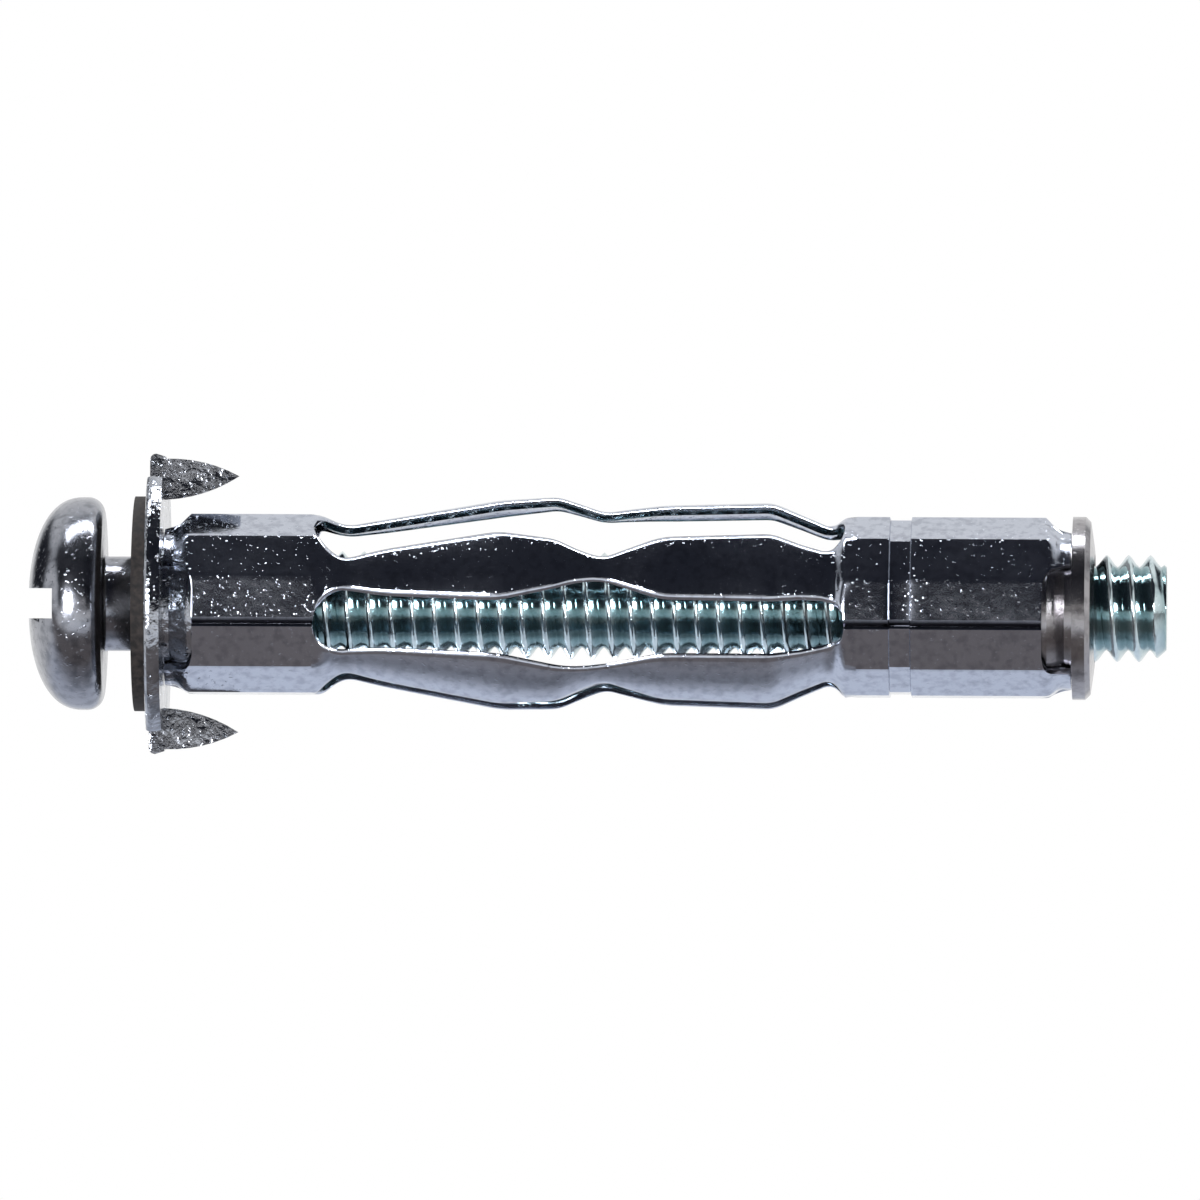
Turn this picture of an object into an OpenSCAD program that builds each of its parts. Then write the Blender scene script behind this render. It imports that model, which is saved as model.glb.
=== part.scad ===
// Hollow wall anchor with its machine screw.
// The X axis is the screw's axis. X = 0 is the flange face that seats on the wall,
// and +X points into the wall, towards the screw's tail.

/* [Screw] */
// Outside diameter of the thread
thread_d = 6.24; // [5:0.01:7]
// Pitch of the thread
thread_pitch = 1.27; // [0.8:0.01:1.6]
// Depth of the thread
thread_depth = 0.62; // [0.4:0.02:0.7]
// Diameter of the plain shank under the head
shank_d = 5.5; // [4:0.05:5.6]
// Length of the plain shank under the head
shank_len = 8; // [4:0.5:20]
// Length of the screw under its head
screw_len = 61.8; // [58:0.1:70]
// Diameter of the pan head
head_d = 12.4; // [10:0.1:14]
// Height of the pan head
head_h = 4.4; // [3.5:0.1:6]
// Width of the driver slot
slot_w = 1.75; // [1:0.05:2.5]
// Depth of the driver slot
slot_depth = 1.6; // [0.8:0.1:2.4]
// Open gap between the head and the washer
head_gap = 1.8; // [0.5:0.1:5]

/* [Washer] */
// Outside diameter of the black washer
washer_d = 12.5; // [10:0.1:15]
// Thickness of the black washer
washer_t = 0.8; // [0.4:0.05:1.5]

/* [Flange] */
// Diameter of the flange
flange_d = 17.5; // [16.5:0.1:20]
// Sheet thickness of the flange
flange_t = 0.9; // [0.6:0.05:1.1]
// Rounding of the flange's outer rim
rim_r = 0.35; // [0.1:0.05:0.5]
// Length of the collar that sits in the sleeve
collar_len = 4; // [2.5:0.1:6]
// Length of each prong behind the flange
prong_len = 4.3; // [2:0.1:6]
// Width of each prong where it leaves the flange
prong_w = 2.4; // [1.5:0.1:2.8]
// Step from the flange's rim down to the prong's outer edge
prong_inset = 0.3; // [0.1:0.05:0.6]

/* [Sleeve] */
// Outside size of the sleeve's twelve-sided ends, over the corners
sleeve_d = 10.76; // [10:0.02:11.5]
// Sheet thickness of the sleeve
sleeve_t = 0.48; // [0.3:0.02:0.6]
// Plain length between the flange and the legs
front_len = 8.9; // [7:0.1:14]
// Length over which the legs stand free
window_len = 30.7; // [28:0.1:36]
// Plain length between the legs and the nut's flange
rear_len = 13.2; // [11:0.05:18]
// Number of legs
leg_count = 5; // [4:1:6]
// Turn of the seam below the level side
seam_angle = 11; // [0:1:30]
// Turn from the seam to the middle of the first slot
slot_turn = 1; // [0:1:10]
// Gap between the two rolled edges at the seam
seam_gap = 0.22; // [0.1:0.02:0.4]
// Outside diameter where the end tongues are bent in
tongue_d = 9.5; // [9.3:0.02:9.8]
// Length of each end notch between the tongues
notch_len = 1.7; // [1.2:0.1:2.2]
// Half width of each end notch
notch_half_w = 3.35; // [3:0.05:3.5]
// Rounding of each end notch
notch_r = 1.5; // [0.8:0.1:1.6]

/* [Legs] */
// Distance of the front fold from the free length's front end
front_fold_at = 1.7; // [1.2:0.1:3]
// Depth of the front fold below the sleeve's flats
front_fold_depth = 0.62; // [0.3:0.02:0.9]
// Distance of the middle fold from the free length's front end
mid_fold_at = 16.7; // [14:0.1:18]
// Rise of the middle fold above the sleeve's flats
mid_fold_rise = 0.22; // [-0.1:0.02:0.5]
// Distance from the front crest to the middle fold
front_crest_gap = 2.7; // [2:0.1:4]
// Rise of the front crest above the sleeve's flats
front_crest_rise = 1.14; // [0.5:0.02:1.5]
// Distance from the front shoulder to the middle fold
front_shoulder_gap = 6.1; // [5:0.1:8]
// Rise of the front shoulder above the sleeve's flats
front_shoulder_rise = 0.92; // [0.3:0.02:1.2]
// Distance from the middle fold to the rear shoulder
rear_shoulder_gap = 3.4; // [2.5:0.1:5]
// Rise of the rear shoulder above the sleeve's flats
rear_shoulder_rise = 0.66; // [0.2:0.02:1]
// Distance from the rear crest to the free length's rear end
rear_crest_gap = 4.2; // [3:0.1:5]
// Rise of the rear crest above the sleeve's flats
rear_crest_rise = 0.86; // [0.4:0.02:1.2]
// Distance of the rear fold from the free length's rear end
rear_fold_gap = 0.75; // [0.6:0.05:1.2]
// Depth of the rear fold below the sleeve's flats
rear_fold_depth = 0.62; // [0.3:0.02:0.9]
// Bend radius of the folds
fold_r = 0.7; // [0.3:0.05:0.8]

/* [Slots between the legs] */
// Half width of a slot at the front fold
slot_front_half_w = 2.04; // [1.8:0.02:2.1]
// Half width of a slot just past the front fold
slot_near_half_w = 1.56; // [1.4:0.02:1.8]
// Half width of a slot at the crests of the legs
slot_crest_half_w = 1.9; // [1.7:0.02:2.3]
// Half width of a slot at the waist of the legs
slot_waist_half_w = 2.55; // [2.3:0.02:2.7]
// Half width of a slot just short of the rear fold
slot_far_half_w = 1.66; // [1.4:0.02:1.8]
// Half width of a slot at the rear fold
slot_rear_half_w = 1.3; // [1.1:0.02:1.5]
// Length of the waist
waist_len = 1.6; // [1:0.1:3]
// Distance from the middle fold back to the middle of the waist
waist_lead = 0.8; // [0:0.1:2]

/* [Nut] */
// Diameter of the nut's flange
nut_flange_d = 10.64; // [10:0.02:11.5]
// Thickness of the nut's flange
nut_flange_t = 1.05; // [0.6:0.05:2]
// Length of the nut inside the sleeve
nut_len = 11.9; // [8:0.1:12.4]
// Width of the ring that is crimped into the nut
crimp_w = 1.35; // [0.8:0.05:2]
// Depth of the crimped ring
crimp_depth = 0.2; // [0.1:0.02:0.35]
// Distance from the crimped ring to the nut's flange
crimp_gap = 9.35; // [6:0.05:10]

/* [Hidden] */

round_fn = 40;
bend_steps = 3;
steel_grey = [0.72, 0.74, 0.78];
screw_grey = [0.68, 0.72, 0.76];

// Clearances between the pieces
thread_fit = 0.05;
washer_fit = 0.07;
collar_fit = 0.1;
seat_gap = 0.05;
cut_over = 1;

// Radii
thread_r = thread_d / 2;
shank_r = shank_d / 2;
sleeve_r = sleeve_d / 2;
sides = 12;
flat_r = sleeve_r * cos(180 / sides);
sheet_lap = 0.03;
sleeve_mid_r = flat_r - sleeve_t / 2 - sheet_lap;
tongue_mid_r = tongue_d / 2 - sleeve_t / 2;
collar_r = flat_r - sleeve_t - collar_fit;
neck_r = tongue_d / 2 - sleeve_t - collar_fit;
flange_r = flange_d / 2;
nut_flange_r = nut_flange_d / 2;

// Stations along the axis
washer_back = -flange_t - seat_gap;
washer_front = washer_back - washer_t;
head_seat = washer_front - head_gap;
head_top = head_seat - head_h;
screw_end = head_seat + screw_len;
legs_start = front_len;
legs_end = front_len + window_len;
sleeve_end = legs_end + rear_len;
nut_seat = sleeve_end;
nut_start = nut_seat - nut_len;
nut_end = nut_seat + nut_flange_t;
front_fold = legs_start + front_fold_at;
mid_fold = legs_start + mid_fold_at;
rear_fold = legs_end - rear_fold_gap;
waist = mid_fold - waist_lead;
front_shoulder = mid_fold - front_shoulder_gap;
rear_shoulder = mid_fold + rear_shoulder_gap;
rear_crest = legs_end - rear_crest_gap;
slot_end = legs_end - slot_rear_half_w;
slot_ease = 2.2;
slot_bend_r = 2.5;
cut_reach = flange_r;
crimp_end = nut_seat - crimp_gap;
crimp_start = crimp_end - crimp_w;

collar_t = 0.7;

// The tongues bend in over this length next to each flange
tongue_flat = 0.45;
tongue_slope = 1;
tongue_bend_r = 0.5;
tongue_count = 3;
sheet_root = 0.4;
crimp_slope = 0.22;
crimp_lap = 0.05;

// Crown of the head: x and r keep to (x/a)^n + (r/b)^n = 1
head_rim_h = 1.2;
head_crown_h = head_h - head_rim_h;
head_power = 2.3;
head_edge_r = 0.95;
head_steps = 14;

// Chamfer at the nut's ends
nut_chamfer = 0.3;
nut_crown = 0.22;

// A prong is bent from the flange, so its plate is the flange's sheet
prong_bend_r = 0.7;
prong_tip_drop = 0.42;
prong_bow = 0.3;
prong_foot = flange_r - prong_inset - prong_w;
prong_notch_over = 0.5;

// Points of an arc that rounds the corner b of the line a-b-c
function unit(v) = v / norm(v);
function corner(a, b, c, r) =
    let (u = unit(a - b), v = unit(c - b),
         half = acos(u * v) / 2,
         d = min(r / tan(half), 0.45 * norm(a - b), 0.45 * norm(c - b)),
         m = b + unit(u + v) * d / cos(half),
         rr = d * tan(half),
         p = b + u * d - m, q = b + v * d - m,
         turn = 180 - 2 * half,
         way = sign(p[0] * q[1] - p[1] * q[0]))
    [for (i = [0:bend_steps])
        let (t = way * turn * i / bend_steps)
        m + rr * unit([p[0] * cos(t) - p[1] * sin(t), p[0] * sin(t) + p[1] * cos(t)])];

// A line through the points with each inner corner rounded
function bent(pts, r) =
    concat([pts[0]],
           [for (i = [1:len(pts) - 2]) each corner(pts[i - 1], pts[i], pts[i + 1], r)],
           [pts[len(pts) - 1]]);

// The outline of a sheet of thickness t whose middle follows the line
function side(line, i) =
    let (a = line[max(i - 1, 0)], b = line[min(i + 1, len(line) - 1)], u = unit(b - a))
    [-u[1], u[0]];
function sheet(line, t) =
    concat([for (i = [0:len(line) - 1]) line[i] + side(line, i) * t / 2],
           [for (i = [len(line) - 1:-1:0]) line[i] - side(line, i) * t / 2]);

// Turns an outline of [x, r] points round the X axis
module turned(outline) {
    rotate([0, 90, 0])
        rotate_extrude($fn = round_fn)
            polygon([for (p = outline) [p[1], p[0]]]);
}

// A cylinder of radius r from x1 to x2 along the X axis
module rod(x1, x2, r) {
    translate([x1, 0, 0])
        rotate([0, 90, 0])
            cylinder(h = x2 - x1, r = r, $fn = round_fn);
}

// Cuts outwards from the X axis with an outline in X and the side direction
module cut_outwards(angle) {
    rotate([angle, 0, 0])
        rotate([90, 0, 0])
            linear_extrude(cut_reach)
                children();
}

// Middle of the sheet along a front tongue
tongue_line = [
    [seat_gap, tongue_mid_r],
    [tongue_flat, tongue_mid_r],
    [tongue_flat + tongue_slope, sleeve_mid_r],
    [tongue_flat + tongue_slope + sheet_root, sleeve_mid_r]
];

// Middle of the sheet along a leg
leg_line = [
    [legs_start - sheet_root, sleeve_mid_r],
    [legs_start, sleeve_mid_r],
    [front_fold, sleeve_mid_r - front_fold_depth],
    [front_shoulder, sleeve_mid_r + front_shoulder_rise],
    [mid_fold - front_crest_gap, sleeve_mid_r + front_crest_rise],
    [mid_fold, sleeve_mid_r + mid_fold_rise],
    [rear_shoulder, sleeve_mid_r + rear_shoulder_rise],
    [rear_crest, sleeve_mid_r + rear_crest_rise],
    [rear_fold, sleeve_mid_r - rear_fold_depth],
    [legs_end, sleeve_mid_r],
    [legs_end + sheet_root, sleeve_mid_r]
];

// One side of a slot between two legs
slot_edge = [
    [front_fold, slot_front_half_w],
    [front_fold + slot_ease, slot_near_half_w],
    [front_shoulder, slot_crest_half_w],
    [waist - waist_len / 2, slot_waist_half_w],
    [waist + waist_len / 2, slot_waist_half_w],
    [rear_shoulder, slot_crest_half_w],
    [rear_crest, slot_crest_half_w],
    [rear_fold - slot_rear_half_w, slot_far_half_w],
    [slot_end, slot_rear_half_w]
];

module leg_slot() {
    edge = bent(slot_edge, slot_bend_r);
    polygon(concat(edge, [for (i = [len(edge) - 1:-1:0]) [edge[i][0], -edge[i][1]]]));
    translate([front_fold, 0])
        circle(r = slot_front_half_w, $fn = round_fn);
    translate([slot_end, 0])
        circle(r = slot_rear_half_w, $fn = round_fn);
}

module end_notch() {
    polygon(bent([[-cut_over, -notch_half_w], [notch_len, -notch_half_w],
                  [notch_len, notch_half_w], [-cut_over, notch_half_w]], notch_r));
}

// A twelve-sided length of the sleeve with its corners at radius r
module tube(x1, x2, r) {
    translate([x1, 0, 0])
        rotate([seam_angle, 0, 0])
            rotate([0, 90, 0])
                difference() {
                    cylinder(h = x2 - x1, r = r, $fn = sides);
                    translate([0, 0, -cut_over])
                        cylinder(h = x2 - x1 + 2 * cut_over,
                                 r = r * cos(180 / sides) - sleeve_t, $fn = round_fn);
                }
}

// One end of the sleeve with its tongues at X = 0
module plain_end(length) {
    difference() {
        union() {
            turned(sheet(bent(tongue_line, tongue_bend_r), sleeve_t));
            tube(tongue_flat + tongue_slope, length, sleeve_r);
        }
        for (i = [0:tongue_count - 1])
            cut_outwards(seam_angle + i * 360 / tongue_count)
                end_notch();
    }
}

module sleeve() {
    color(steel_grey)
    difference() {
        union() {
            plain_end(legs_start);
            translate([sleeve_end, 0, 0])
                mirror([1, 0, 0])
                    plain_end(sleeve_end - crimp_end);
            tube(legs_end, crimp_start, sleeve_r);
            tube(crimp_start - crimp_lap, crimp_end + crimp_lap, sleeve_r - crimp_depth);
            turned(sheet(bent(leg_line, fold_r), sleeve_t));
        }
        for (i = [0:leg_count - 1])
            cut_outwards(seam_angle + slot_turn + i * 360 / leg_count)
                leg_slot();
        cut_outwards(seam_angle)
            translate([-cut_over, -seam_gap / 2])
                square([sleeve_end + 2 * cut_over, seam_gap]);
    }
}

// Outline of a prong seen from its broad side: x along the axis, y outwards
function prong_curve(from, to, bow) =
    let (d = to - from, n = unit([-d[1], d[0]]))
    [for (i = [0:6]) let (t = i / 6) from + d * t + n * bow * 4 * t * (1 - t)];

module prong_outline() {
    top = flange_r - prong_inset;
    tip = [prong_len, top - prong_w * prong_tip_drop];
    polygon(concat([[-flange_t, prong_foot], [-flange_t, top], [0, top]],
                   prong_curve([0, top], tip, prong_bow),
                   prong_curve(tip, [0, prong_foot], prong_bow)));
}

// One prong above the axis, its broad side facing -Y, with the bend at its foot
module prong() {
    half = flange_t / 2;
    difference() {
        rotate([90, 0, 0])
            translate([0, 0, -half])
                linear_extrude(flange_t)
                    prong_outline();
        difference() {
            translate([-flange_t - cut_over, -half - cut_over, 0])
                cube([cut_over + prong_bend_r, cut_over + prong_bend_r, flange_d]);
            translate([prong_bend_r - flange_t, prong_bend_r - half, 0])
                cylinder(h = flange_d, r = prong_bend_r, $fn = round_fn);
        }
    }
}

// The place in the flange that a prong was bent out of
module prong_gap() {
    over = flange_r + prong_notch_over;
    tip_y = -flange_t / 2 - prong_len;
    tip_z = flange_r - prong_inset - prong_w * prong_tip_drop;
    translate([-flange_t - cut_over, 0, 0])
        rotate([90, 0, 90])
            linear_extrude(flange_t + 2 * cut_over)
                polygon([[-flange_t / 2, prong_foot], [tip_y, tip_z],
                         [tip_y, over], [-flange_t / 2, over]]);
}

// Middle of the collar's sheet, which follows the sleeve's bent tongues
collar_line = [
    [-flange_t / 2, neck_r - collar_t / 2],
    [tongue_flat, neck_r - collar_t / 2],
    [tongue_flat + tongue_slope, collar_r - collar_t / 2],
    [collar_len, collar_r - collar_t / 2]
];

module flange() {
    bore_r = neck_r - collar_t;
    color(steel_grey)
    union() {
        difference() {
            turned(concat([[0, bore_r], [0, flange_r - rim_r / 2]],
                          [for (i = [0:bend_steps])
                              let (t = 90 * i / bend_steps)
                              [rim_r - flange_t - rim_r * sin(t),
                               flange_r - rim_r + rim_r * cos(t)]],
                          [[-flange_t, bore_r]]));
            prong_gap();
            mirror([0, 0, 1])
                prong_gap();
        }
        turned(sheet(bent(collar_line, tongue_bend_r), collar_t));
        prong();
        mirror([0, 0, 1])
            prong();
    }
}

module nut() {
    groove_r = collar_r - crimp_depth;
    bore_r = thread_r + thread_fit;
    color(steel_grey)
    difference() {
        turned(concat(
            [[nut_start, 0], [nut_start, collar_r - nut_chamfer],
             [nut_start + nut_chamfer, collar_r],
             [crimp_start - crimp_slope, collar_r], [crimp_start, groove_r],
             [crimp_end, groove_r], [crimp_end + crimp_slope, collar_r],
             [sleeve_end - tongue_flat - tongue_slope, collar_r],
             [sleeve_end - tongue_flat, neck_r], [nut_seat, neck_r],
             [nut_seat, nut_flange_r], [nut_end - nut_chamfer, nut_flange_r],
             [nut_end, nut_flange_r - nut_chamfer], [nut_end + nut_crown, bore_r + nut_chamfer],
             [nut_end + nut_crown, 0]]));
        rod(nut_start - cut_over, nut_end + nut_crown + cut_over, bore_r);
    }
}

module washer() {
    color([0.09, 0.08, 0.08])
    difference() {
        rod(washer_front, washer_back, washer_d / 2);
        rod(washer_front - cut_over, washer_back + cut_over, shank_r + washer_fit);
    }
}

// The thread's crests are rings one pitch apart
module screw() {
    rim = head_seat - head_rim_h;
    head_r = head_d / 2;
    root_r = thread_r - thread_depth;
    turns = floor((screw_len - shank_len) / thread_pitch);
    thread_start = screw_end - turns * thread_pitch;
    color(screw_grey)
    difference() {
        turned(concat(
            [for (i = [0:head_steps])
                let (t = 90 * i / head_steps, p = 2 / head_power)
                [rim - head_crown_h * pow(cos(t), p), head_r * pow(sin(t), p)]],
            [for (i = [0:bend_steps])
                let (t = 90 * i / bend_steps)
                [head_seat - head_edge_r + head_edge_r * sin(t),
                 head_r - head_edge_r + head_edge_r * cos(t)]],
            [[head_seat, shank_r], [thread_start - thread_pitch / 2, shank_r]],
            [for (i = [0:turns - 1])
                each [[thread_start + i * thread_pitch, root_r],
                      [thread_start + (i + 0.5) * thread_pitch, thread_r]]],
            [[screw_end, root_r], [screw_end, 0]]));
        translate([head_top - cut_over, -head_d, -slot_w / 2])
            cube([cut_over + slot_depth, 2 * head_d, slot_w]);
    }
}

flange();
sleeve();
nut();
washer();
screw();
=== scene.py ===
import math
import bmesh
import bpy
import numpy as np
from mathutils import Matrix, Vector


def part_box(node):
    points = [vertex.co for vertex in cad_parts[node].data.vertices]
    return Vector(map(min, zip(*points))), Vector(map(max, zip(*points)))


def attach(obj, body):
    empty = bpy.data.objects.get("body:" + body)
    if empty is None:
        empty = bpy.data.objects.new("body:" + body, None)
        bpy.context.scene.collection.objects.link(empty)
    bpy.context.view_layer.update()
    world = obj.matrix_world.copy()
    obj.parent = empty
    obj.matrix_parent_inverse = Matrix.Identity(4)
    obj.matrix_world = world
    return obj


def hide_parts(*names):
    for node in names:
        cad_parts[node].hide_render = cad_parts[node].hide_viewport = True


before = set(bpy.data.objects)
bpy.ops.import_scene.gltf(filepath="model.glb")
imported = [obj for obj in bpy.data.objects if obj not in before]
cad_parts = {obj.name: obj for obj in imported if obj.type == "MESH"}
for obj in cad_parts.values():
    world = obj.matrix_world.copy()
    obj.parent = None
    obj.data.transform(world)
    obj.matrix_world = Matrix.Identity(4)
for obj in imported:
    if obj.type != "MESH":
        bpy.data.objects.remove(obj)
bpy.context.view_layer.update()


# The sleeve: one sheet of mild steel with slots punched in it, waved and waisted legs
# pressed between them, then rolled into a twelve-sided tube with its seam to one side.
# Three tongues at each end are bent in over the flange's collar and the nut.
MM = 0.001
low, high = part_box("sleeve")
sleeve_start, sleeve_end = low[0] / MM, high[0] / MM
sheet = 0.48
flat_turn = 30
first_corner = 18
corner_r = 5.37
flat_r = corner_r * math.cos(math.radians(flat_turn / 2))

# Stations of the legs' outside along the sleeve, and how far each stands off the flats
leg_turn = 72
leg_centres = [24 + leg_turn * i for i in range(5)]
front_fold, mid_fold, rear_fold = 10.6, 25.6, 38.85
leg_x = [8.9, front_fold, 19.5, 22.9, mid_fold, 29, 35.4, rear_fold, 39.6]
leg_rise = [0, -0.62, 0.92, 1.12, 0.22, 0.66, 0.84, -0.62, 0]
fold_r = 0.45
leg_flatness = 0.25
legs_from, legs_to = (8.3, 10), (39, 40.2)

# Stations of half the slots' width, and the margin that is rolled down beside them
slot_front, slot_back, slot_end = 1.8, 1.3, 38.3
slot_x = [front_fold, 12.8, 19.5, 24, 25.6, 29, 35.4, 37.5, slot_end]
slot_w = [slot_front, 1.56, 1.56, 2.55, 2.55, 1.6, 1.56, 1.5, slot_back]
slot_round = 0.7
margin_drop, margin_w = 0.16, 0.36

# The crimped ring, and the necked ends with the notches between their tongues
crimp_start, crimp_end, crimp_depth = 42.2, 43.45, 0.2
neck_r, neck_from, neck_to = 4.75, 0.45, 1.45
notch_turn, notch_middle = 120, -11
notch_w, notch_len, notch_r, notch_reach = 3.35, 1.7, 1.5, 5
notched = 3


def rounded(x, reach, stations, values):
    """A value between its stations, with the bends there rounded over the reach."""
    return np.mean([np.interp(x + d, stations, values) for d in np.linspace(-reach, reach, 9)])


def leg_r(x):
    """Outside radius of a leg."""
    return flat_r + rounded(x, fold_r, leg_x, leg_rise)


def half_slot(x):
    """Half a slot's width, with a round end at each fold."""
    if x < front_fold:
        return math.sqrt(max(slot_front**2 - (x - front_fold) ** 2, 0))
    if x > slot_end:
        return math.sqrt(max(slot_back**2 - (x - slot_end) ** 2, 0))
    return rounded(x, slot_round, slot_x, slot_w)


def ease(value, start, end):
    """A smooth step from 0 at start to 1 at end."""
    t = min(max((value - start) / (end - start), 0), 1)
    return t * t * (3 - 2 * t)


def outside(x, angle, centre):
    """Outside radius of the sheet at x and an angle, for the leg that stands at centre."""
    off_flat = (angle - first_corner) % flat_turn - flat_turn / 2
    tube_r = flat_r / math.cos(math.radians(off_flat))
    neck = ease(min(x - sleeve_start, sleeve_end - x), neck_from, neck_to)
    tube_r = neck_r * (1 - neck) + tube_r * neck
    if crimp_start < x < crimp_end:
        tube_r -= crimp_depth
    off_centre = 1 / math.cos(math.radians(angle - centre)) - 1
    strip = leg_r(x) * (1 + leg_flatness * off_centre)
    on_leg = ease(x, *legs_from) * ease(-x, -legs_to[1], -legs_to[0])
    return tube_r * (1 - on_leg) + strip * on_leg


def margin(x, across):
    """How far the margin is rolled down, at that distance from a slot."""
    return margin_drop * max(1 - across / margin_w, 0) ** 2 if half_slot(x) > 0 else 0


def notch_depth(angle):
    """How far a notch cuts back the sleeve's end at an angle."""
    side = (angle - notch_middle + notch_turn / 2) % notch_turn - notch_turn / 2
    across = abs(notch_reach * math.sin(math.radians(side)))
    if across > notch_w:
        return 0
    round_part = max(across - (notch_w - notch_r), 0)
    return notch_len - notch_r + math.sqrt(notch_r**2 - round_part**2)


def end_x(row, angle):
    """Where a mesh row lies: the rows by an end are drawn back evenly from its notches."""
    cut = notch_depth(angle)
    if row < notched:
        room = notched - sleeve_start
        return notched - (notched - row) * (room - cut) / room
    if row > sleeve_end - notched:
        return sleeve_end - notched + (row - sleeve_end + notched) * (notched - cut) / notched
    return row


def around(x, radius, degrees):
    """A point at that angle round the X axis: 0 faces -Y and 90 faces up."""
    turn = math.radians(degrees)
    return (x, -radius * math.cos(turn), radius * math.sin(turn))


def new_piece(name, verts=(), faces=()):
    mesh = bpy.data.meshes.new(name)
    mesh.from_pydata(verts, [], faces)
    piece = bpy.data.objects.new(name, mesh)
    bpy.context.scene.collection.objects.link(piece)
    return piece


def soften(piece, width, degrees):
    """A narrow rounding along the piece's sharp edges."""
    edge = piece.modifiers.new("edge", "BEVEL")
    edge.width = width
    edge.segments = 2
    edge.limit_method = "ANGLE"
    edge.angle_limit = math.radians(degrees)


def baked(piece):
    """The piece's evaluated mesh takes the place of its modifiers."""
    bpy.context.view_layer.update()
    seen_by = bpy.context.evaluated_depsgraph_get()
    done = bpy.data.meshes.new_from_object(piece.evaluated_get(seen_by))
    piece.modifiers.clear()
    piece.data = done
    return piece


# Rows lie close together where the sheet bends, and far apart where it is straight
columns = 24
rows = list(np.linspace(sleeve_start, notched, 18)) + [4, 5, 6, 7, 8]
rows += list(np.linspace(8.5, 9, 7)) + list(np.linspace(9.1, 38.9, 150))
rows += list(np.linspace(39, 39.7, 8)) + [40.3, 41, 41.7]
rows += [crimp_start - 0.02, crimp_start + 0.04, crimp_end - 0.04, crimp_end + 0.02]
rows += [44.5, 46, 48, 49.5] + list(np.linspace(sleeve_end - 2.95, sleeve_end, 18))
verts, faces = [], []
for centre in leg_centres:
    first = len(verts)
    for row in rows:
        slot_turn = math.degrees(math.asin(min(half_slot(row) / leg_r(row), 1)))
        half = leg_turn / 2 - slot_turn
        for column in range(columns + 1):
            angle = centre + half * (2 * column / columns - 1)
            x = end_x(row, angle)
            across = leg_r(row) * math.radians(half - abs(angle - centre))
            radius = outside(x, angle, centre) - margin(row, across)
            verts.append([v * MM for v in around(x, radius, angle)])
    for i in range(len(rows) - 1):
        for column in range(columns):
            a = first + i * (columns + 1) + column
            faces.append((a, a + columns + 1, a + columns + 2, a + 1))
sleeve = new_piece("sleeve_sheet", verts, faces)
weld = sleeve.modifiers.new("weld", "WELD")
weld.merge_threshold = 0.02 * MM
wall = sleeve.modifiers.new("wall", "SOLIDIFY")
wall.thickness = sheet * MM
wall.offset = -1
soften(sleeve, 0.12 * MM, 26)
baked(sleeve)
sleeve.data.shade_smooth()


def wired(tree, kind, inputs=None, **settings):
    """A new node's outputs. Each of its inputs is a value, or an output of another node."""
    node = tree.nodes.new(kind)
    for name, value in settings.items():
        setattr(node, name, value)
    for name, value in (inputs or {}).items():
        if isinstance(value, bpy.types.NodeSocket):
            tree.links.new(value, node.inputs[name])
        else:
            node.inputs[name].default_value = value
    return node.outputs


def maths(tree, operation, *values):
    sums = wired(tree, "ShaderNodeMath", dict(enumerate(values)), operation=operation)
    return sums["Value"]


def between(tree, value, start, end, **settings):
    """How far the value is from start, 0, to end, 1."""
    span = {"Value": value, "From Min": start, "From Max": end}
    return wired(tree, "ShaderNodeMapRange", span, **settings)["Result"]


def mixed(tree, amount, a, b):
    """Colour a where the amount is 0, and b where it is 1."""
    colors = {"Factor": amount, "A": a, "B": b}
    return wired(tree, "ShaderNodeMix", colors, data_type="RGBA")["Result"]


def noise(tree, place, scale, detail=2):
    spots = {"Vector": place, "Scale": scale, "Detail": detail}
    return wired(tree, "ShaderNodeTexNoise", spots)["Fac"]


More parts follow.
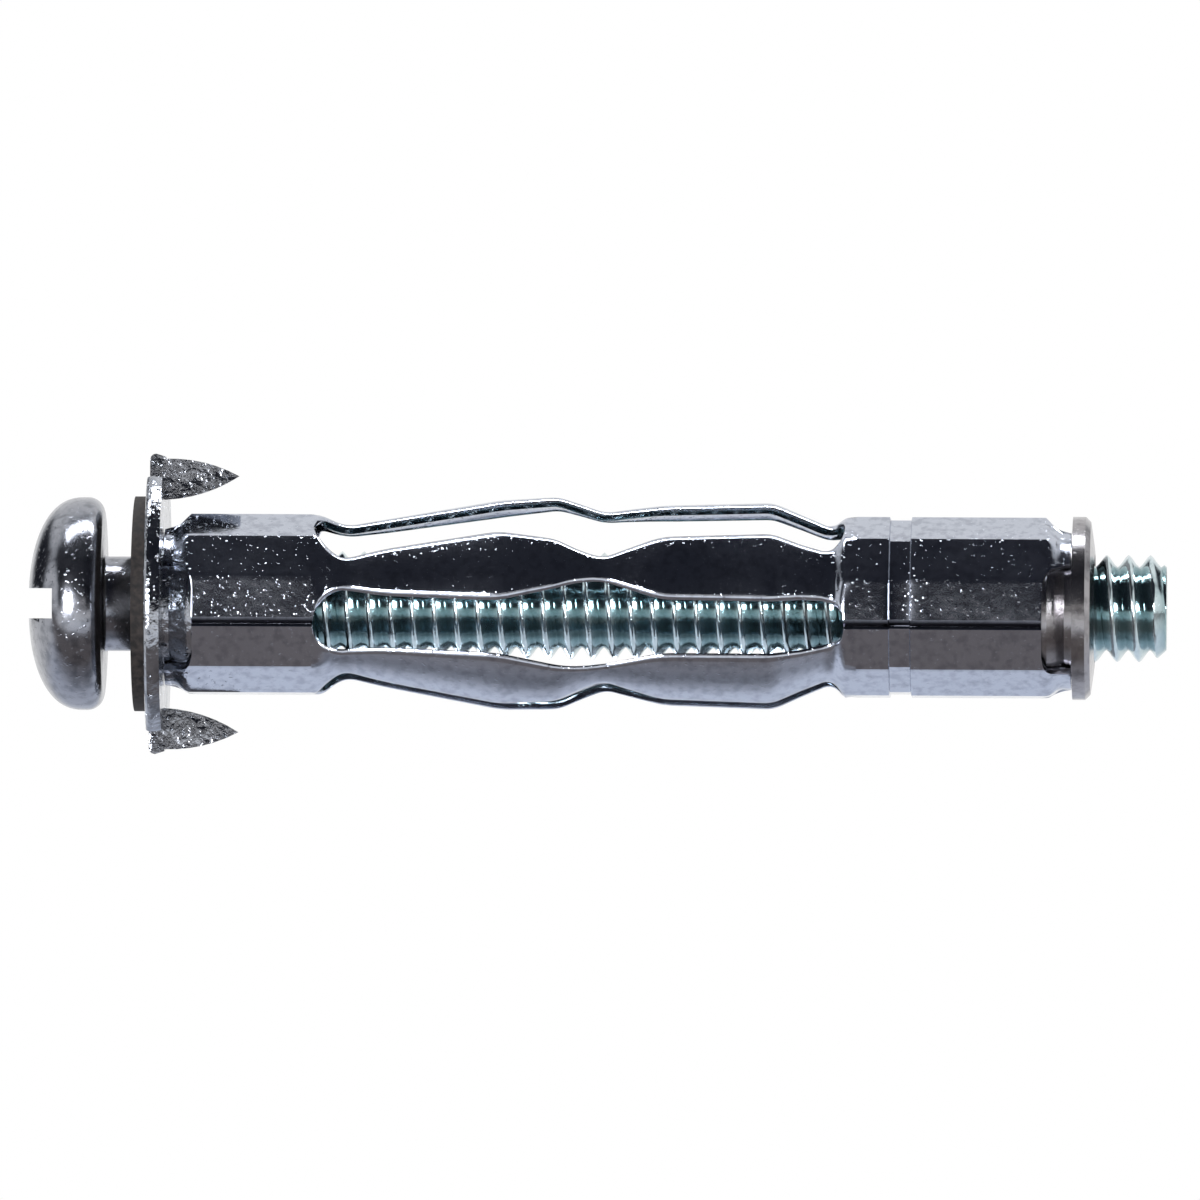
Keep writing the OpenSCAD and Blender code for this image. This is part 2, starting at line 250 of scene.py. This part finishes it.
def zinc_group():
    """Bright zinc plating, on all the steel: rolled or turned metal under a thin coat,
    slightly spangled and nicked."""
    group = bpy.data.node_groups.new("zinc_plating", "ShaderNodeTree")
    for name, kind, value in (
        ("Light", "NodeSocketColor", (0.5, 0.53, 0.6, 1)),
        ("Dark", "NodeSocketColor", (0.12, 0.13, 0.17, 1)),
        ("Grain", "NodeSocketFloat", 1500.0),
        ("Spangle", "NodeSocketFloat", 0.5),
        ("Polish", "NodeSocketFloat", 0.12),
        ("Bump", "NodeSocketFloat", 0.15),
        ("Wave", "NodeSocketFloat", 1.0),
        ("Nicks", "NodeSocketFloat", 1.0),
    ):
        socket = group.interface.new_socket(name, in_out="INPUT", socket_type=kind)
        socket.default_value = value
    given = wired(group, "NodeGroupInput")
    place = wired(group, "ShaderNodeTexCoord")["Object"]
    fine = noise(group, place, given["Grain"], 4)
    cloud = noise(group, place, 260)
    speck = maths(group, "MULTIPLY", between(group, fine, 0.46, 0.66), given["Spangle"])
    spots = noise(group, place, maths(group, "MULTIPLY", given["Grain"], 2.4))
    nicks = between(group, spots, 0.64, 0.76)
    swell = maths(group, "MULTIPLY", fine, given["Wave"])
    height = maths(group, "MULTIPLY_ADD", nicks, given["Nicks"], swell)
    relief = {"Strength": given["Bump"], "Distance": 0.03 * MM, "Height": height}
    made = {
        "Color": mixed(group, speck, given["Light"], given["Dark"]),
        "Roughness": maths(group, "MULTIPLY_ADD", cloud, 0.16, given["Polish"]),
        "Normal": wired(group, "ShaderNodeBump", relief)["Normal"],
    }
    for name, kind in (("Color", "NodeSocketColor"), ("Roughness", "NodeSocketFloat"),
                       ("Normal", "NodeSocketVector")):
        group.interface.new_socket(name, in_out="OUTPUT", socket_type=kind)
    wired(group, "NodeGroupOutput", made)
    return group


plating = zinc_group()


def zinc(name, **settings):
    """A plated steel, with its own values for the plating."""
    material = bpy.data.materials.new(name)
    material.use_nodes = True
    tree = material.node_tree
    shader = tree.nodes["Principled BSDF"].inputs
    shader["Metallic"].default_value = 1
    coat = wired(tree, "ShaderNodeGroup", settings, node_tree=plating)
    for output, target in (("Color", "Base Color"), ("Roughness", "Roughness"),
                           ("Normal", "Normal")):
        tree.links.new(coat[output], shader[target])
    return material


def paint(piece, material):
    piece.data.materials.clear()
    piece.data.materials.append(material)


sleeve_zinc = zinc("sleeve_zinc", Grain=1900.0, Spangle=0.3, Polish=0.04, Bump=0.22, Nicks=2.0)
paint(sleeve, sleeve_zinc)

# The seam is where the sheet's two edges butt: a dark groove between worn margins
tree = sleeve_zinc.node_tree
place = wired(tree, "ShaderNodeTexCoord")["Object"]
spot = wired(tree, "ShaderNodeSeparateXYZ", {"Vector": place})
bearing = maths(tree, "ARCTAN2", spot["Z"], maths(tree, "MULTIPLY", spot["Y"], -1))
off_seam = maths(tree, "SUBTRACT", bearing, math.radians(notch_middle))
line = between(tree, maths(tree, "ABSOLUTE", off_seam), math.radians(0.7), math.radians(3))
coat = tree.nodes["Group"].outputs
shader = tree.nodes["Principled BSDF"].inputs
groove = wired(tree, "ShaderNodeBump", {"Strength": 1, "Distance": 0.22 * MM, "Height": line,
                                        "Normal": coat["Normal"]})
tree.links.new(mixed(tree, line, (0.01, 0.01, 0.015, 1), coat["Color"]), shader["Base Color"])
tree.links.new(groove["Normal"], shader["Normal"])
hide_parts("sleeve")
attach(sleeve, "anchor")


# The screw: cold-headed steel with a rolled right-hand thread, plated bright with a
# faint blue tint. The pan head has one straight driver slot across it.
low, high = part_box("screw")
head_top, tail = low[0] / MM, high[0] / MM
head_r = high[2] / MM
head_h, rim_h, rim_round, head_power = 4.4, 1.2, 0.95, 2.3
crown_steps, rim_steps = 24, 8
seat = head_top + head_h
shank_r, major_r, minor_r, pitch = 2.75, 3.12, 2.42, 1.27
fillet, fillet_middle = 0.25, 0.07
driver_w, driver_depth, driver_reach = 1.75, 1.6, 9
thread_turns = 42
thread_start = tail - thread_turns * pitch
shank_end = thread_start + 0.3
outline = []
for i in range(crown_steps + 1):
    t = math.radians(90 * i / crown_steps)
    outline.append((seat - rim_h - (head_h - rim_h) * math.cos(t) ** (2 / head_power),
                    head_r * math.sin(t) ** (2 / head_power)))
for i in range(rim_steps + 1):
    t = math.radians(90 * i / rim_steps)
    outline.append((seat - rim_round + rim_round * math.sin(t),
                    head_r - rim_round + rim_round * math.cos(t)))
outline += [(seat, shank_r + fillet), (seat + fillet_middle, shank_r + fillet_middle),
            (seat + fillet, shank_r), (shank_end, shank_r), (shank_end, 0)]
ring = 96
turns = [2 * math.pi * k / ring for k in range(ring)]
verts = [(x * MM, r * MM * math.cos(t), r * MM * math.sin(t)) for x, r in outline for t in turns]
faces = []
for i in range(len(outline) - 1):
    for k in range(ring):
        here, beside = i * ring + k, i * ring + (k + 1) % ring
        faces.append((here, beside, beside + ring, here + ring))
head = new_piece("screw_head", verts, faces)
corners = [(x * MM, y * MM, z * MM) for x in (head_top - 1, head_top + driver_depth)
           for y in (-driver_reach, driver_reach) for z in (-driver_w / 2, driver_w / 2)]
driver = new_piece("driver_slot", corners, [(0, 1, 3, 2), (4, 6, 7, 5), (0, 4, 5, 1),
                                            (2, 3, 7, 6), (0, 2, 6, 4), (1, 5, 7, 3)])
weld = head.modifiers.new("weld", "WELD")
weld.merge_threshold = 0.004 * MM
cut = head.modifiers.new("driver_slot", "BOOLEAN")
cut.object = driver
cut.solver = "EXACT"
soften(head, 0.1 * MM, 40)
baked(head)
bpy.data.objects.remove(driver)
head.data.shade_smooth()
head.data.set_sharp_from_angle(angle=math.radians(35))
paint(head, zinc("head_zinc", Light=(0.3, 0.31, 0.345, 1), Dark=(0.09, 0.1, 0.12, 1),
                 Grain=1700.0, Spangle=0.5, Polish=0.1, Bump=0.35, Nicks=2.0))


def thread_tree():
    """A sheet of points wound round the X axis, its radius following the rolled thread."""
    tree = bpy.data.node_groups.new("rolled_thread", "GeometryNodeTree")
    sockets = {}
    for name, kind in (("Start", "NodeSocketFloat"), ("Turns", "NodeSocketInt"),
                       ("Pitch", "NodeSocketFloat"), ("Major Radius", "NodeSocketFloat"),
                       ("Minor Radius", "NodeSocketFloat"), ("Shank Radius", "NodeSocketFloat"),
                       ("Material", "NodeSocketMaterial")):
        socket = tree.interface.new_socket(name, in_out="INPUT", socket_type=kind)
        sockets[name] = socket.identifier
    tree.interface.new_socket("Geometry", in_out="OUTPUT", socket_type="NodeSocketGeometry")
    given = wired(tree, "NodeGroupInput")

    def sums(operation, *values):
        return maths(tree, operation, *values)

    # A flat grid: along X for the thread's length and one turn more, along Y for one turn
    steps, round_steps = 14, 64
    grid_rows = sums("MULTIPLY_ADD", sums("ADD", given["Turns"], 1.0), steps, 1.0)
    grid = wired(tree, "GeometryNodeMeshGrid", {"Size X": 1.0, "Size Y": 1.0,
                                                "Vertices X": grid_rows,
                                                "Vertices Y": round_steps + 1})
    here = wired(tree, "GeometryNodeInputPosition")["Position"]
    here = wired(tree, "ShaderNodeSeparateXYZ", {"Vector": here})
    along = sums("ADD", here["X"], 0.5)
    turn = sums("ADD", here["Y"], 0.5)

    # Each row is sheared by the lead, and cut off square at the thread's two ends
    length = sums("MULTIPLY", given["Turns"], given["Pitch"])
    lead = sums("MULTIPLY", sums("SUBTRACT", turn, 1.0), given["Pitch"])
    travel = sums("MULTIPLY_ADD", along, sums("ADD", length, given["Pitch"]), lead)
    travel = sums("MINIMUM", sums("MAXIMUM", travel, 0.0), length)

    # The profile is part straight flank and part round, 1 at the crest and 0 at the root
    phase = sums("SUBTRACT", sums("DIVIDE", travel, given["Pitch"]), turn)
    phase = sums("FRACT", sums("ADD", phase, 0.0001))
    flank = sums("ABSOLUTE", sums("MULTIPLY_ADD", phase, 2.0, -1.0))
    rounding = sums("COSINE", sums("MULTIPLY", phase, 2 * math.pi))
    rounding = sums("MULTIPLY_ADD", rounding, 0.3, 0.3)
    wave = sums("MULTIPLY_ADD", flank, 0.4, rounding)
    depth = sums("SUBTRACT", given["Major Radius"], given["Minor Radius"])
    radius = sums("MULTIPLY_ADD", wave, depth, given["Minor Radius"])

    # It runs out on the shank at one end, and the tail is pointed at the other
    run_out = sums("DIVIDE", travel, sums("MULTIPLY", given["Pitch"], 1.6))
    run_out = sums("MINIMUM", run_out, 1.0)
    bare = sums("MULTIPLY", given["Shank Radius"], sums("SUBTRACT", 1.0, run_out))
    radius = sums("MULTIPLY_ADD", radius, run_out, bare)
    to_tail = sums("SUBTRACT", length, travel)
    radius = sums("MINIMUM", radius, sums("MULTIPLY_ADD", to_tail, 0.9, given["Minor Radius"]))
    angle = sums("MULTIPLY", turn, 2 * math.pi)
    place = wired(tree, "ShaderNodeCombineXYZ", {
        "X": sums("ADD", travel, given["Start"]),
        "Y": sums("MULTIPLY", radius, sums("COSINE", angle)),
        "Z": sums("MULTIPLY", radius, sums("SINE", angle)),
    })["Vector"]
    shape = wired(tree, "GeometryNodeSetPosition", {"Geometry": grid["Mesh"], "Position": place})
    shape = wired(tree, "GeometryNodeMergeByDistance", {"Geometry": shape["Geometry"],
                                                        "Distance": 0.004 * MM})
    shape = wired(tree, "GeometryNodeRealizeInstances", {"Geometry": shape["Geometry"]})
    shape = wired(tree, "GeometryNodeSetMaterial", {"Geometry": shape["Geometry"],
                                                    "Material": given["Material"]})
    wired(tree, "NodeGroupOutput", {"Geometry": shape["Geometry"]})
    return tree, sockets


# The thread is bluer than the head, with painted shade darkening it in its roots
thread_zinc = zinc("thread_zinc", Light=(0.6, 0.7, 0.72, 1), Dark=(0.2, 0.27, 0.29, 1),
                   Grain=2600.0, Spangle=0.3, Polish=0.05, Bump=0.2)
tree = thread_zinc.node_tree
place = wired(tree, "ShaderNodeTexCoord")["Object"]
off_axis = wired(tree, "ShaderNodeVectorMath", {0: place, 1: (0, 1, 1)}, operation="MULTIPLY")
radius = wired(tree, "ShaderNodeVectorMath", {0: off_axis["Vector"]}, operation="LENGTH")
# Painted shade: the colour darkens to a deep teal at the thread's roots, where shade falls, and
# clears toward the crests
painted_root_shade_mask = between(tree, radius["Value"], minor_r * MM, (major_r - 0.1) * MM)
thread_color_with_painted_root_shade = mixed(tree, painted_root_shade_mask, (0.3, 0.42, 0.44, 1), tree.nodes["Group"].outputs["Color"])
tree.links.new(thread_color_with_painted_root_shade, tree.nodes["Principled BSDF"].inputs["Base Color"])

thread = new_piece("screw_thread")
winding = thread.modifiers.new("winding", "NODES")
winding.node_group, sockets = thread_tree()
for name, value in (("Start", thread_start * MM), ("Turns", thread_turns), ("Pitch", pitch * MM),
                    ("Major Radius", major_r * MM), ("Minor Radius", minor_r * MM),
                    ("Shank Radius", shank_r * MM), ("Material", thread_zinc)):
    winding[sockets[name]] = value
baked(thread)
solid = bmesh.new()
solid.from_mesh(thread.data)
open_edges = [edge for edge in solid.edges if edge.is_boundary]
bmesh.ops.holes_fill(solid, edges=open_edges, sides=0)
bmesh.ops.recalc_face_normals(solid, faces=solid.faces)
solid.to_mesh(thread.data)
solid.free()
thread.data.shade_smooth()
thread.data.set_sharp_from_angle(angle=math.radians(50))
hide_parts("screw")
for piece in (head, thread):
    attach(piece, "screw")


# The flange: a disc punched and drawn from heavier sheet, with two prongs bent out of
# its rim and a short collar that the sleeve's front tongues hold.
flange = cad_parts["flange"]
paint(flange, zinc("flange_zinc", Light=(0.4, 0.42, 0.46, 1), Dark=(0.08, 0.09, 0.11, 1),
                   Grain=1000.0, Spangle=0.4, Polish=0.06, Bump=1.0, Wave=5.0, Nicks=5.0))


# The nut: turned from steel bar, with a thin round flange that closes the sleeve's rear
# end. Its body is held inside by the crimped ring and the rear tongues.
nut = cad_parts["nut"]
paint(nut, zinc("nut_zinc", Light=(0.34, 0.33, 0.34, 1), Dark=(0.12, 0.11, 0.12, 1),
                Grain=1800.0, Spangle=0.4, Polish=0.12, Bump=0.3))


# The washer: a disc of black vulcanised fibre, punched from sheet. Its hole grips the
# plain shank, and its faces show short matted strands.
def ramp(tree, value, *stops):
    """Colours along a value, from two or more pairs of a position and a colour."""
    scale = wired(tree, "ShaderNodeValToRGB", {"Fac": value})
    elements = scale["Color"].node.color_ramp.elements
    for i, (position, color) in enumerate(stops):
        stop = elements[i] if i < 2 else elements.new(position)
        stop.position, stop.color = position, color
    return scale["Color"]


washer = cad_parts["washer"]
fibre = bpy.data.materials.new("black_fibre")
fibre.use_nodes = True
tree = fibre.node_tree
place = wired(tree, "ShaderNodeTexCoord")["Object"]
strands = noise(tree, place, 3200, 6)
shades = ramp(tree, strands, (0.35, (0.006, 0.005, 0.005, 1)), (0.75, (0.032, 0.025, 0.022, 1)))
rough = wired(tree, "ShaderNodeMapRange", {"Value": strands, "To Min": 0.55, "To Max": 0.85})
nap = wired(tree, "ShaderNodeBump", {"Strength": 0.5, "Distance": 0.05 * MM, "Height": strands})
shader = tree.nodes["Principled BSDF"].inputs
shader["Specular IOR Level"].default_value = 0.3
tree.links.new(shades, shader["Base Color"])
tree.links.new(rough["Result"], shader["Roughness"])
tree.links.new(nap["Normal"], shader["Normal"])
paint(washer, fibre)


# The studio floor: pale paper that turns white to the camera away from the anchor. To
# glossy rays it is banded, dark and light, so that the plating has something to mirror.
middle_x = 0.0253
floor_z = -0.04
floor_half = 0.9
dark_band, light_band = (0.14, 0.12, 0.115, 1), (0.9, 0.92, 0.95, 1)
paper = bpy.data.materials.new("paper")
paper.use_nodes = True
tree = paper.node_tree
place = wired(tree, "ShaderNodeTexCoord")["Object"]
spot = wired(tree, "ShaderNodeSeparateXYZ", {"Vector": place})
ray = wired(tree, "ShaderNodeLightPath")
bands = ramp(tree, between(tree, spot["Y"], -0.2, 0.05),
             (0.12, dark_band), (0.24, light_band), (0.46, light_band), (0.56, dark_band),
             (0.72, dark_band), (0.85, (0.62, 0.64, 0.7, 1)))
shader = tree.nodes["Principled BSDF"]
shader.inputs["Roughness"].default_value = 0.9
tree.links.new(mixed(tree, ray["Is Glossy Ray"], (0.86, 0.87, 0.89, 1), bands),
               shader.inputs["Base Color"])
shine = maths(tree, "MAXIMUM", ray["Is Glossy Ray"], ray["Is Transmission Ray"])
white_part = maths(tree, "MAXIMUM", maths(tree, "COMPARE", spot["Y"], -0.18, 0.12),
                   between(tree, spot["Y"], -0.03, 0.012))
seen = maths(tree, "MAXIMUM", ray["Is Camera Ray"], maths(tree, "MULTIPLY", shine, white_part))
distance = wired(tree, "ShaderNodeVectorMath", {0: place}, operation="LENGTH")["Value"]
away = between(tree, distance, 0.06, 0.16, interpolation_type="SMOOTHSTEP")
surface = wired(tree, "ShaderNodeMixShader", {
    "Fac": maths(tree, "MULTIPLY", away, seen),
    1: shader.outputs["BSDF"],
    2: wired(tree, "ShaderNodeEmission")["Emission"],
})
tree.links.new(surface["Shader"], tree.nodes["Material Output"].inputs["Surface"])
floor = new_piece("floor", [(x, y, 0) for y in (-floor_half, floor_half)
                            for x in (-floor_half, floor_half)], [(0, 1, 3, 2)])
floor.location = (middle_x, 0, floor_z)
paint(floor, paper)


# The lamps: soft boxes above, along the front, toward the head and toward the tail, each
# turned to the anchor's middle.
def lamp(name, place, size, power, tint):
    data = bpy.data.lights.new(name, "AREA")
    data.shape = "RECTANGLE"
    data.size, data.size_y = size
    data.energy = power
    data.color = tint
    light = bpy.data.objects.new(name, data)
    light.location = place
    aim = Vector((middle_x, 0, 0)) - Vector(place)
    light.rotation_euler = aim.to_track_quat("-Z", "Y").to_euler()
    bpy.context.scene.collection.objects.link(light)


lamp("top_lamp", (0.02, 0.02, 0.3), (0.4, 0.05), 1.2, (0.95, 0.97, 1))
lamp("front_lamp", (-0.05, -0.35, 0.01), (0.3, 0.015), 0.02, (1, 0.97, 0.94))
lamp("head_lamp", (-0.2, -0.34, 0.0), (0.16, 0.12), 2.2, (0.96, 0.97, 1))
lamp("tail_lamp", (0.4, -0.2, 0.0), (0.12, 0.08), 1.0, (0.96, 0.98, 1))


# The room: white to the camera everywhere. To other rays it is dark, with windows behind
# and above and a bright wall past each end of the anchor.
world = bpy.data.worlds.new("room")
bpy.context.scene.world = world
world.use_nodes = True
tree = world.node_tree


def step_up(value, start, end):
    return between(tree, value, start, end, interpolation_type="SMOOTHSTEP")


way = wired(tree, "ShaderNodeTexCoord")["Generated"]
way = wired(tree, "ShaderNodeSeparateXYZ", {"Vector": way})
sideways = maths(tree, "ABSOLUTE", way["X"])
back_window = step_up(way["Y"], 0.2, 0.5)
high_window = maths(tree, "MULTIPLY", step_up(way["Z"], 0.35, 0.6), step_up(way["Y"], -0.1, 0.3))
window = wired(tree, "ShaderNodeMix", {"Factor": step_up(sideways, 0.3, 0.5),
                                       "A": back_window, "B": high_window})["Result"]
bright = maths(tree, "MAXIMUM", window, step_up(sideways, 0.86, 0.96))
room = tree.nodes["Background"]
tree.links.new(mixed(tree, bright, (0.02, 0.022, 0.03, 1), (0.9, 0.95, 1, 1)),
               room.inputs["Color"])
ray = wired(tree, "ShaderNodeLightPath")
shine = maths(tree, "MAXIMUM", ray["Is Glossy Ray"], ray["Is Transmission Ray"])
seen = maths(tree, "MAXIMUM", ray["Is Camera Ray"], maths(tree, "MULTIPLY", shine, bright))
surface = wired(tree, "ShaderNodeMixShader", {
    "Fac": seen,
    1: room.outputs["Background"],
    2: wired(tree, "ShaderNodeBackground", {"Color": (1, 1, 1, 1)})["Background"],
})
tree.links.new(surface["Shader"], tree.nodes["World Output"].inputs["Surface"])


# The camera: a long lens nearly square to the anchor's side, a little toward the tail,
# with the anchor filling the frame from head to tail.
data = bpy.data.cameras.new("camera")
data.sensor_width = 36
data.lens = 1000
data.clip_end = 10
view_w = 0.06977
distance = view_w * data.lens / data.sensor_width
yaw, roll = math.radians(1.9), math.radians(0.28)
target = Vector((middle_x, 0, 0.00035))
camera = bpy.data.objects.new("camera", data)
bpy.context.scene.collection.objects.link(camera)
back = Vector((math.sin(yaw), -math.cos(yaw), 0))
camera.matrix_world = (Matrix.Translation(target + back * distance)
                       @ back.to_track_quat("Z", "Y").to_matrix().to_4x4()
                       @ Matrix.Rotation(roll, 4, "Z"))
bpy.context.scene.camera = camera
bpy.context.scene.view_settings.view_transform = "Standard"
